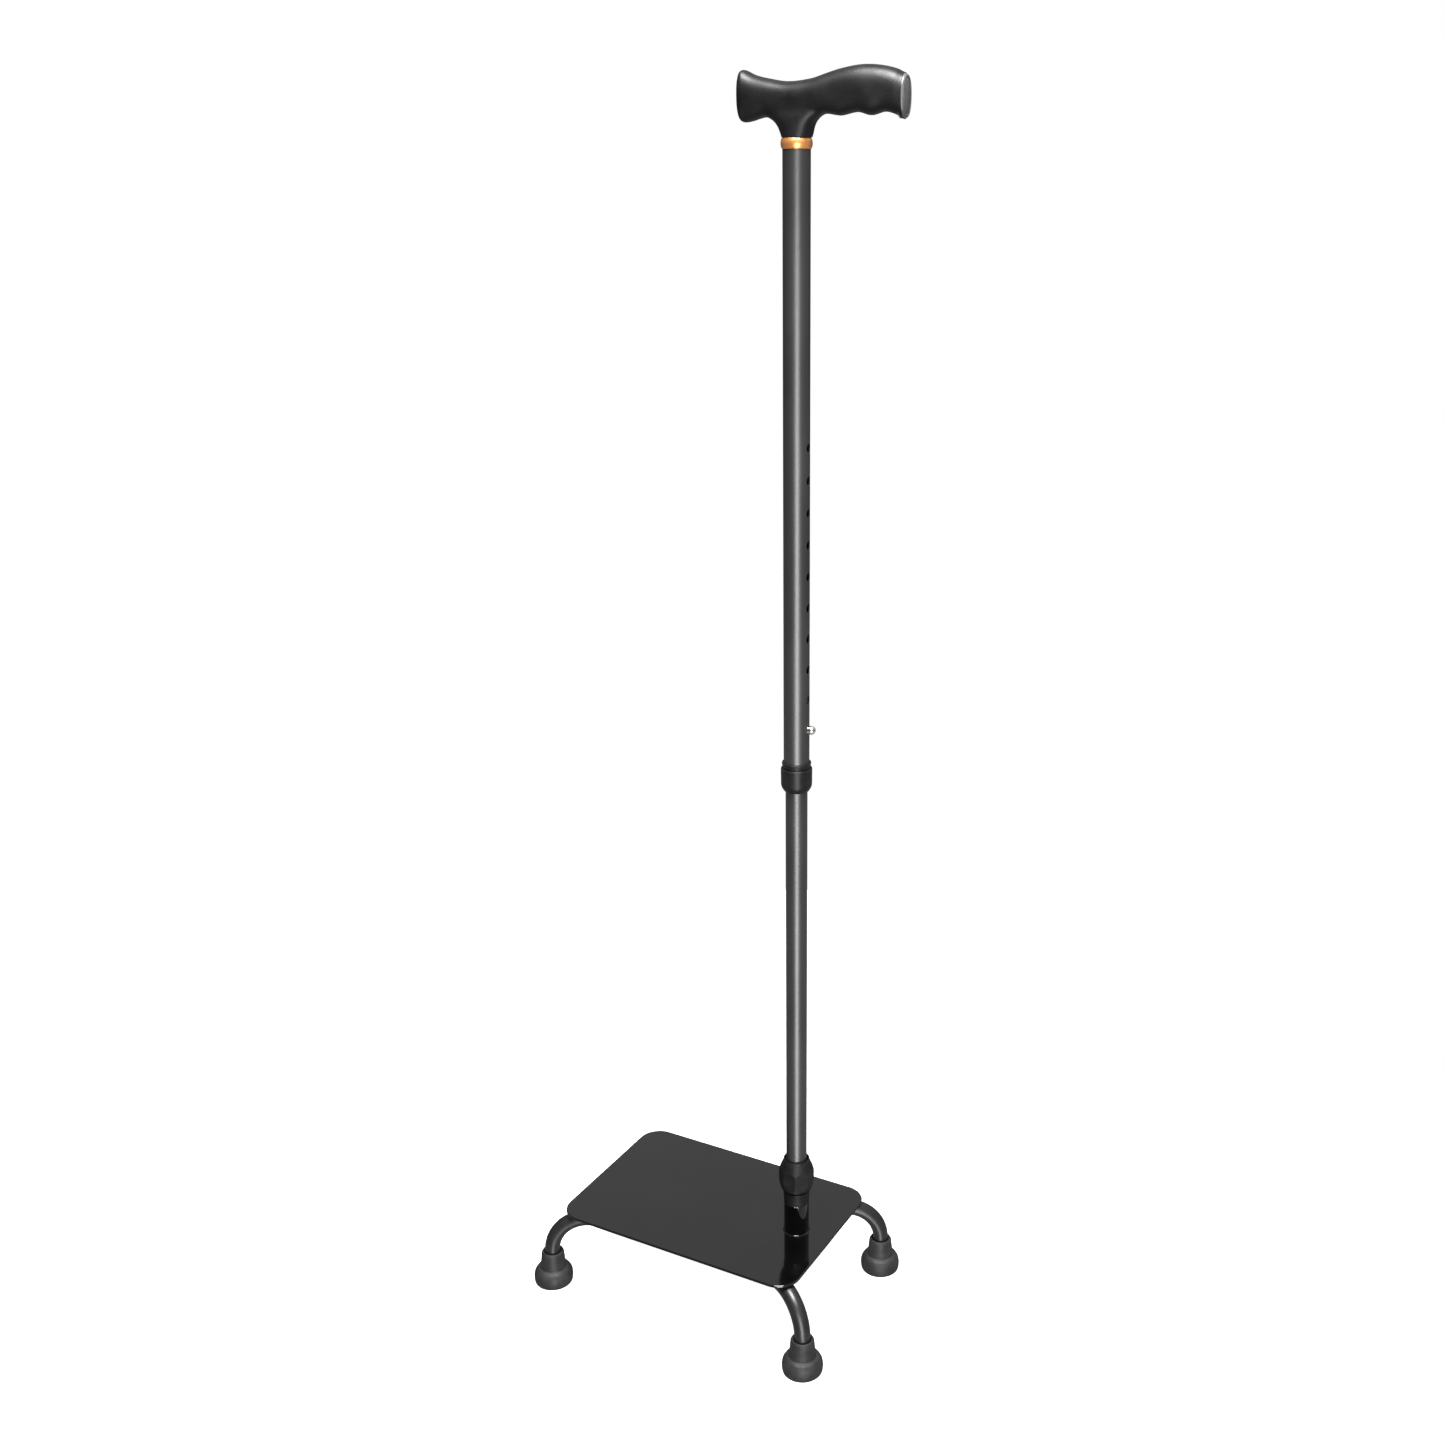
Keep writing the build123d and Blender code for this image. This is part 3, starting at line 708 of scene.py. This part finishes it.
def make_post_weld():
    """The ring of weld at the post's foot, laid in overlapping ripples."""
    bottom, top, outer = span("post_weld")
    inner = span("post")[2]
    segments = 288
    ripples = 34
    ripple_depth = 0.03

    def ripple(angle):
        return ripple_depth * sin(ripples * angle)

    corners = [
        (inner - 0.3, bottom, 0),
        (outer - 0.8, bottom, 0.2),
        (outer - 1.2, bottom + 0.35, 0.3),
        (inner + 0.1, top - 0.9, 0.2),
        (inner - 0.3, top - 0.9, 0),
    ]
    name = "post_weld_visual"
    turned_piece(name, corners, "base", ["post_weld"], "plate_gloss_black", segments, ripple)


# ---- Socket and lock nut ----

THREAD_DEPTH = 0.7


def thread_profile(radius, bottom, top):
    """The (radius, height, rounding) corners of thread flanks, from bottom to top."""
    pitch = 2.0
    root = radius - THREAD_DEPTH
    corners = [(root, bottom, 0.2)]
    for turn in range(int((top - bottom) // pitch)):
        start = bottom + turn * pitch
        corners.append((radius, start + pitch * 0.35, 0.2))
        corners.append((radius, start + pitch * 0.6, 0.2))
        corners.append((root, start + pitch, 0.2))
    return corners


def make_socket():
    """The moulded socket under the lock nut: shallow rings, a groove and the nut's thread."""
    bottom, top, thread_radius = span("threaded_socket")
    nut_bottom = span("lock_nut")[0]
    post_top = span("post")[1]
    skirt = 11.0
    groove = 10.4
    corners = [
        (POST_NECK, bottom, 0),
        (skirt, bottom, 0.3),
        (11.15, bottom + 4.0, 0.2),
        (skirt, bottom + 4.3, 0.2),
        (skirt, bottom + 4.9, 0.2),
        (11.3, bottom + 5.2, 0.2),
        (11.8, nut_bottom - 2.5, 0.3),
        (groove, nut_bottom - 2.3, 0.2),
        (groove, nut_bottom - 0.2, 0.2),
        *thread_profile(thread_radius, nut_bottom + 0.6, top - 2.0),
        (thread_radius - THREAD_DEPTH, top, 0.3),
        (10.1, top, 0.3),
        (SHAFT_BORE, top - 1.0, 0.2),
        (SHAFT_BORE, post_top, 0),
        (POST_NECK, post_top, 0),
    ]
    turned_piece("threaded_socket_visual", corners, "base", ["threaded_socket"], "nut_black")


def divided(outline, step):
    """A closed (radius, height) outline with points added, so that none are further apart in height."""
    points = []
    for (radius, height), (after_radius, after_height) in zip(outline, outline[1:] + outline[:1]):
        count = max(1, round(abs(after_height - height) / step))
        for number in range(count):
            u = number / count
            points.append((radius + (after_radius - radius) * u, height + (after_height - height) * u))
    return points


def make_nut():
    """The eight-sided lock nut: rim, cone, straight flats and a tapered skirt, all edges eased."""
    bottom, top, _ = span("lock_nut")
    half_side = pi / 8
    flat_radius = 15.5 * cos(half_side)
    flat_middle = radians(39.5)
    edge_sharpness = 140
    outer = [
        (13.3, bottom, 0.4),
        (13.7, bottom + 0.5, 0.4),
        (15.6, bottom + 7.0, 2.0),
        (15.6, bottom + 17.7, 0.5),
        (14.6, bottom + 19.6, 0.6),
        (13.0, bottom + 23.2, 0.5),
        (11.8, top - 2.3, 0.3),
        (11.4, top - 1.8, 0.3),
        (11.3, top, 0.3),
    ]
    collet_top = span("gripping_collet")[1]
    mouth = 10.5
    inner = [
        (mouth, top, 0.2),
        (mouth - 0.1, collet_top + 0.5, 0.2),
        (10.4, collet_top + 0.5, 0.2),
        (12.5, span("threaded_socket")[1] + 2.1, 0.3),
        (12.4, bottom, 0),
    ]
    outline = divided(rounded([*outer, *inner]), 0.6)
    # the outside ends where the outline first reaches the mouth; only the outside has flats
    outer_count = next(index for index, point in enumerate(outline) if point[0] < mouth + 0.1)
    segments = 256
    rings = []
    for index, (radius, height) in enumerate(outline):
        ring = []
        for number in range(segments):
            angle = tau * number / segments
            here = radius
            if index < outer_count:
                around = (angle - flat_middle + half_side) % (2 * half_side) - half_side
                flat = flat_radius / cos(around)
                here = (radius**-edge_sharpness + flat**-edge_sharpness) ** (-1 / edge_sharpness)
            ring.append(polar(here, angle, height))
        rings.append(ring)
    build = bmesh.new()
    skin_rings(build, rings, closed_loop=True)
    add_piece("lock_nut_visual", build, "lock_nut", ["lock_nut"], "nut_black")


# ---- Tubes and mid collar ----


def button_height():
    """The height of the snap button's middle."""
    low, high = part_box("height_button")
    return (low.z + high.z) / 2 / MM


def make_tube(node, body, bore, hole_heights):
    """A drilled tube of the shaft."""
    bottom, top, radius = span(node)
    build = bmesh.new()
    drilled_tube(build, radius, bore, bottom, top, hole_heights)
    add_piece(f"{node}_visual", build, body, [node], "shaft_gunmetal")


def make_tubes():
    """The shaft's tubes: one hole in the lower for the button, and the row of holes in the upper."""
    lowest = button_height()
    row = [lowest + number * HOLE_PITCH for number in range(HOLE_COUNT)]
    make_tube("lower_tube", "lower_shaft", LOWER_TUBE_BORE, [lowest])
    make_tube("upper_tube", "upper_shaft", UPPER_TUBE_BORE, row)


def make_mid_collar():
    """The flared bush under the upper tube and the round cup nut that closes it."""
    bush_bottom, bush_top, rim = span("collar_bush")
    cup_bottom, cup_top, cup = span("collar_cup")
    tube_bottom = span("upper_tube")[0]
    tube_seat = 10.5
    bush = [
        (SHAFT_BORE, bush_bottom, 0.2),
        (10.0, bush_bottom, 0.2),
        *thread_profile(11.3, bush_bottom + 1.0, bush_top - 4.3),
        (10.6, bush_top - 4.6, 0.2),
        (rim - 0.8, bush_top - 4.5, 0.4),
        (rim - 0.1, bush_top - 0.9, 0.4),
        (rim - 0.3, bush_top, 0.4),
        (tube_seat + 0.05, bush_top, 0.2),
        (tube_seat, bush_top - 0.6, 0),
        (tube_seat, tube_bottom, 0),
        (SHAFT_BORE, tube_bottom, 0),
    ]
    turned_piece("collar_bush_visual", bush, "upper_shaft", ["collar_bush"], "cup_black")
    cup_bore = 9.35
    shell = [
        (cup_bore, cup_bottom, 0.3),
        (10.2, cup_bottom, 0.5),
        (cup - 0.15, cup_bottom + 3.8, 2.6),
        (cup, cup_top - 0.3, 0.9),
        (cup - 0.9, cup_top, 0.5),
        (11.65, cup_top, 0.3),
        (11.6, bush_bottom - 1.0, 0.3),
        (10.8, bush_bottom - 4.2, 0.3),
        (cup_bore, bush_bottom - 4.2, 0.3),
    ]
    turned_piece("collar_cup_visual", shell, "collar_cup", ["collar_cup"], "cup_black")


# ---- Snap button ----


def make_button():
    """A pressed steel button with a domed end, pointing out of its hole."""
    tip = (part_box("height_button")[1].x / MM - SHAFT_X) / cos(SHAFT_TURN)
    back = 5.8
    barrel_end = tip - BUTTON_RADIUS
    dome_steps = 20
    outline = [(0, back), (BUTTON_RADIUS, back), (BUTTON_RADIUS, barrel_end - 0.2)]
    for number in range(1, dome_steps):
        swing = pi / 2 * number / dome_steps
        outline.append((BUTTON_RADIUS * cos(swing), barrel_end + BUTTON_RADIUS * sin(swing)))
    outline.append((0, tip))
    build = bmesh.new()
    lathe(build, outline, segments=64)
    pointing = SHAFT @ Matrix.Translation((0, 0, button_height())) @ Matrix.Rotation(pi / 2, 4, "Y")
    name = "height_button_visual"
    add_piece(name, build, "height_button", ["height_button"], "button_chrome", pointing)


# ---- Handle ----

# Where the grip's open end is cut square
GRIP_END = 82.0

# distance along the handle, underside, top, width and squareness
GRIP_TABLE = (
    (-44.3, 1016.6, 1042.6, 15.5, 2.6),
    (-43.4, 1013.0, 1045.6, 18.6, 2.8),
    (-41.4, 1010.8, 1047.2, 21.4, 2.9),
    (-38.0, 1010.6, 1046.4, 22.9, 2.4),
    (-32.0, 1011.9, 1043.6, 23.6, 2.4),
    (-22.0, 1014.4, 1041.2, 24.2, 2.4),
    (-6.0, 1014.8, 1038.9, 25.0, 2.4),
    (12.0, 1015.2, 1040.7, 26.0, 2.4),
    (24.0, 1016.1, 1044.2, 26.6, 2.4),
    (33.5, 1014.7, 1046.9, 27.0, 2.4),
    (47.0, 1017.1, 1049.3, 27.0, 2.4),
    (57.4, 1014.8, 1049.6, 27.0, 2.4),
    (67.7, 1017.2, 1048.4, 26.0, 2.4),
    (76.5, 1015.0, 1046.2, 24.8, 2.35),
    (81.0, 1012.3, 1044.0, 23.4, 2.3),
    (86.0, 1011.2, 1042.2, 22.2, 2.2),
)
# height, left and right ends along the handle, width and squareness
NECK_TABLE = (
    (999.5, -11.0, 11.5, 22.4, 2.1),
    (1001.0, -11.3, 11.9, 22.6, 2.15),
    (1004.0, -12.3, 12.6, 22.9, 2.3),
    (1008.0, -14.2, 13.6, 23.3, 2.5),
    (1011.5, -17.2, 15.2, 23.4, 2.7),
    (1014.5, -22.6, 18.6, 23.2, 2.8),
    (1018.0, -27.0, 23.6, 22.0, 2.8),
    (1024.0, -29.0, 28.0, 18.0, 2.6),
)


def between(table, at):
    """A row of the table at a place between its rows, on smooth curves through them."""
    last = len(table) - 1
    index = max(0, min(last - 1, sum(1 for row in table if row[0] <= at) - 1))
    start, end = table[index][0], table[index + 1][0]
    u = (at - start) / (end - start)
    values = []
    for column in range(1, len(table[0])):
        slopes = []
        for here in (index, index + 1):
            left, right = table[max(here - 1, 0)], table[min(here + 1, last)]
            slopes.append((right[column] - left[column]) / (right[0] - left[0]) * (end - start))
        one, other = table[index][column], table[index + 1][column]
        # a cubic Hermite curve through the two rows
        values.append(
            one * (2 * u**3 - 3 * u**2 + 1)
            + other * (3 * u**2 - 2 * u**3)
            + slopes[0] * (u**3 - 2 * u**2 + u)
            + slopes[1] * (u**3 - u**2)
        )
    return values


def squared_circle(half_width, half_height, squareness):
    """Points of a superellipse, spaced evenly by angle."""
    count = 96
    points = []
    for number in range(count):
        angle = tau * number / count
        across, up = cos(angle), sin(angle)
        reach = (abs(across) ** squareness + abs(up) ** squareness) ** (-1 / squareness)
        points.append((half_width * across * reach, half_height * up * reach))
    return points


def table_loft(table, ring_at, steps):
    """A closed loft over a table, in even steps from its first row to its last."""
    start, end = table[0][0], table[-1][0]
    rings = []
    for number in range(steps + 1):
        at = start + (end - start) * number / steps
        rings.append(ring_at(at, *between(table, at)))
    build = bmesh.new()
    capped_loft(build, rings)
    return build


def bar_ring(along, low, high, width, squareness):
    """A section of the handle's bar, which runs from its nose to its open end."""
    section = squared_circle(width / 2, (high - low) / 2, squareness)
    return [(along, y, (low + high) / 2 + z) for y, z in section]


def neck_ring(height, left, right, width, squareness):
    """A section of the handle's neck, which runs from the trim ring up into the bar."""
    section = squared_circle((right - left) / 2, width / 2, squareness)
    return [((left + right) / 2 + x, y, height) for x, y in section]


def evaluated(source):
    """The mesh of an object with its modifiers applied."""
    depsgraph = bpy.context.evaluated_depsgraph_get()
    return bpy.data.meshes.new_from_object(source.evaluated_get(depsgraph), depsgraph=depsgraph)


def blended_grip():
    """Bar and neck merged into one skin, with the inside corner between them softened."""
    mesh = bpy.data.meshes.new("grip_parts")
    joined = bmesh.new()
    bar = table_loft(GRIP_TABLE, bar_ring, steps=128)
    neck = table_loft(NECK_TABLE, neck_ring, steps=40)
    for part in (bar, neck):
        part.to_mesh(mesh)
        joined.from_mesh(mesh)
        part.free()
    bmesh.ops.recalc_face_normals(joined, faces=joined.faces)
    joined.to_mesh(mesh)
    joined.free()
    block = bpy.data.objects.new("grip_block", mesh)
    bpy.context.scene.collection.objects.link(block)
    remesh = block.modifiers.new("one_skin", "REMESH")
    remesh.mode = "VOXEL"
    remesh.voxel_size = 0.8
    smooth = block.modifiers.new("soften", "SMOOTH")
    smooth.factor = 0.5
    smooth.iterations = 6
    merged = evaluated(block)
    bpy.data.objects.remove(block)
    build = bmesh.new()
    build.from_mesh(merged)
    soften_junction(build)
    return build


def soften_junction(build):
    """Relaxes the skin where the neck runs into the bar's underside and sides."""
    centre = Vector((0, 0, 1016.0))
    reach = (34.0, 22.0, 13.0)
    near = []
    for vertex in build.verts:
        offset = vertex.co - centre
        distance = Vector([part / size for part, size in zip(offset, reach)]).length
        if distance < 1:
            near.append(vertex)
    rounds = 30
    for _ in range(rounds):
        bmesh.ops.smooth_vert(
            build, verts=near, factor=0.5, use_axis_x=True, use_axis_y=True, use_axis_z=True
        )


def make_grip():
    """The moulded palm grip, cut square at its open end and at the trim ring."""
    build = blended_grip()
    neck_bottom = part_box("handle_grip")[0].z / MM
    for point, normal in (((GRIP_END, 0, 0), (1, 0, 0)), ((0, 0, neck_bottom), (0, 0, -1))):
        geometry = [*build.verts, *build.edges, *build.faces]
        cut = bmesh.ops.bisect_plane(
            build, geom=geometry, plane_co=point, plane_no=normal, clear_outer=True
        )
        edges = [item for item in cut["geom_cut"] if isinstance(item, bmesh.types.BMEdge)]
        bmesh.ops.contextual_create(build, geom=edges)
    add_piece("palm_grip", build, "upper_shaft", ["handle_grip"], "grip_black")


def make_end_plug():
    """The oval cap in the grip's open end: rounded rim, fine groove and a slightly domed face."""
    low, high, width, squareness = between(GRIP_TABLE, GRIP_END)
    centre = (low + high) / 2
    reach = (high - low) / 2
    half = width / 2
    # how far each ring is inside the grip's outline, and how far it stands out of the grip's end
    profile = (
        (0.6, -3.0),
        (0.6, 0.0),
        (0.7, 0.7),
        (1.1, 1.4),
        (1.8, 1.9),
        (2.6, 2.05),
        (3.0, 1.9),
        (3.2, 1.3),
        (3.5, 1.2),
        (3.8, 1.5),
        (4.2, 1.9),
        (5.5, 2.1),
        (8.0, 2.4),
        (10.0, 2.55),
        (11.0, 2.6),
    )
    rings = []
    for inset, out in profile:
        section = squared_circle(half - inset, reach - inset, squareness)
        rings.append([(GRIP_END + out, y, centre + z) for y, z in section])
    build = bmesh.new()
    capped_loft(build, rings)
    add_piece("grip_end_cap", build, "upper_shaft", ["grip_end_plug"], "plug_grey", crease=60)


def make_trim_ring():
    """The polished ring between grip and tube: a belly between two fine beads."""
    bottom, top, radius = span("handle_collar")
    inner = 10.52
    belly = 0.55
    belly_steps = 20
    foot = [
        (inner, top, 0),
        (inner, bottom, 0),
        (radius - 1.0, bottom, 0.2),
        (radius - 0.5, bottom + 0.7, 0.4),
    ]
    crown = [
        (radius - 0.5, top - 0.9, 0.2),
        (radius - 1.1, top - 0.3, 0.3),
        (radius - 1.2, top, 0.2),
    ]
    outline = rounded(foot)
    for number in range(1, belly_steps):
        u = number / belly_steps
        out = radius - belly + belly * sin(pi * u) ** 0.8
        outline.append((out, bottom + 0.9 + (top - bottom - 2.0) * u))
    outline += rounded(crown, 3)
    build = bmesh.new()
    lathe(build, outline)
    add_piece("trim_ring", build, "upper_shaft", ["handle_collar"], "collar_copper_gold")


# ---- Studio ----


def make_floor():
    """A round white table that glows evenly and that only the camera sees, so it lights nothing."""
    radius = 0.85
    glow = 0.93
    build = bmesh.new()
    bmesh.ops.create_circle(build, cap_ends=True, segments=192, radius=radius)
    mesh = bpy.data.meshes.new("floor")
    build.to_mesh(mesh)
    build.free()
    paint = Finish("floor_paint", specular=0.1)
    clouds = paint.noise(400.0, 2.0)
    paint.colour(clouds, (0.58, 0.58, 0.58), (0.60, 0.60, 0.60))
    paint.roughness(clouds, 0.75, 0.85)
    paint.shader.inputs["Emission Color"].default_value = (1, 1, 1, 1)
    paint.shader.inputs["Emission Strength"].default_value = glow
    mesh.materials.append(paint.material)
    floor = bpy.data.objects.new("floor", mesh)
    bpy.context.scene.collection.objects.link(floor)
    floor.visible_diffuse = False
    floor.visible_glossy = False
    floor.visible_shadow = False


def softbox(name, place, aim, width, height, power):
    """A soft rectangular light in metres and watts, turned to the point that it aims at."""
    light = bpy.data.lights.new(name, "AREA")
    light.shape = "RECTANGLE"
    light.size = width
    light.size_y = height
    light.energy = power
    lamp = bpy.data.objects.new(name, light)
    lamp.location = place
    lamp.rotation_mode = "QUATERNION"
    lamp.rotation_quaternion = (Vector(aim) - Vector(place)).to_track_quat("-Z", "Y")
    lamp.visible_camera = False
    bpy.context.scene.collection.objects.link(lamp)


def ramp(tree, value, start, end, low, high):
    """A smooth change from low to high as the value goes from start to end."""
    node = tree.nodes.new("ShaderNodeMapRange")
    node.interpolation_type = "SMOOTHSTEP"
    node.inputs["From Min"].default_value = start
    node.inputs["From Max"].default_value = end
    node.inputs["To Min"].default_value = low
    node.inputs["To Max"].default_value = high
    tree.links.new(value, node.inputs["Value"])
    return node.outputs["Result"]


def combine(tree, operation, first, second):
    """Two values added or multiplied."""
    node = tree.nodes.new("ShaderNodeMath")
    node.operation = operation
    tree.links.new(first, node.inputs[0])
    tree.links.new(second, node.inputs[1])
    return node.outputs["Value"]


def make_sky():
    """A white room to look at. The light it gives is dim, and brighter high up behind the cane."""
    world = bpy.data.worlds.new("studio")
    world.use_nodes = True
    tree = world.node_tree
    shown = tree.nodes["Background"]
    shown.inputs["Color"].default_value = (1, 1, 1, 1)
    shown.inputs["Strength"].default_value = 1.0
    direction = tree.nodes.new("ShaderNodeTexCoord")
    parts = tree.nodes.new("ShaderNodeSeparateXYZ")
    tree.links.new(direction.outputs["Generated"], parts.inputs["Vector"])
    # the light is behind * high + below + right, each read from one axis of the direction
    behind = ramp(tree, parts.outputs["Y"], 0.1, 0.6, 0.35, 1.0)
    high = ramp(tree, parts.outputs["Z"], 0.1, 0.45, 0.0, 0.48)
    below = ramp(tree, parts.outputs["Z"], -0.5, -0.1, 0.26, 0.0)
    right = ramp(tree, parts.outputs["X"], 0.1, 0.8, 0.08, 0.22)
    around = combine(tree, "ADD", below, right)
    wall = combine(tree, "ADD", combine(tree, "MULTIPLY", behind, high), around)
    lighting = tree.nodes.new("ShaderNodeBackground")
    lighting.inputs["Color"].default_value = (1, 1, 1, 1)
    tree.links.new(wall, lighting.inputs["Strength"])
    ray = tree.nodes.new("ShaderNodeLightPath")
    mix = tree.nodes.new("ShaderNodeMixShader")
    tree.links.new(ray.outputs["Is Camera Ray"], mix.inputs["Fac"])
    tree.links.new(lighting.outputs["Background"], mix.inputs[1])
    tree.links.new(shown.outputs["Background"], mix.inputs[2])
    tree.links.new(mix.outputs["Shader"], tree.nodes["World Output"].inputs["Surface"])
    bpy.context.scene.world = world


def make_camera():
    """Stands to the front right of the base, at handle height, looking slightly down."""
    pan, dip, tilt = 27.526, 16.581, 0.07
    camera = bpy.data.cameras.new("camera")
    camera.sensor_width = 36.0
    camera.lens = 41.38
    camera.shift_x = -0.0555
    camera.shift_y = -0.0449
    holder = bpy.data.objects.new("camera", camera)
    holder.location = (SHAFT_X * MM + 0.5914, -1.1242, 0.982)
    turn = Matrix.Rotation(radians(pan), 3, "Z") @ Matrix.Rotation(radians(90 - dip), 3, "X")
    holder.rotation_euler = (turn @ Matrix.Rotation(radians(tilt), 3, "Z")).to_euler()
    bpy.context.scene.collection.objects.link(holder)
    bpy.context.scene.camera = holder


# name, place, aim, width, height and power of each light. The tall card's reflection is the bright
# line down the shaft.
SOFTBOXES = (
    ("overhead", (0.36, -0.62, 2.45), (0.1, -0.05, 0.6), 1.0, 1.0, 175),
    ("front_card", (1.08, -1.61, -0.3), (0.07, 0.0, -0.3), 0.85, 2.4, 57),
)


def make_studio():
    """Floor, room, camera and lights."""
    make_floor()
    make_sky()
    make_camera()
    bpy.context.scene.view_settings.view_transform = "Standard"
    for light in SOFTBOXES:
        softbox(*light)


finish_cad_nodes()
make_plate()
for leg_end, leg_side in (("front", -1), ("rear", 1)):
    make_leg(leg_end, leg_side)
    make_foot(f"{leg_end}_left")
    make_foot(f"{leg_end}_right")
make_post()
make_post_weld()
make_socket()
make_nut()
make_tubes()
make_mid_collar()
make_button()
make_grip()
make_end_plug()
make_trim_ring()
make_studio()
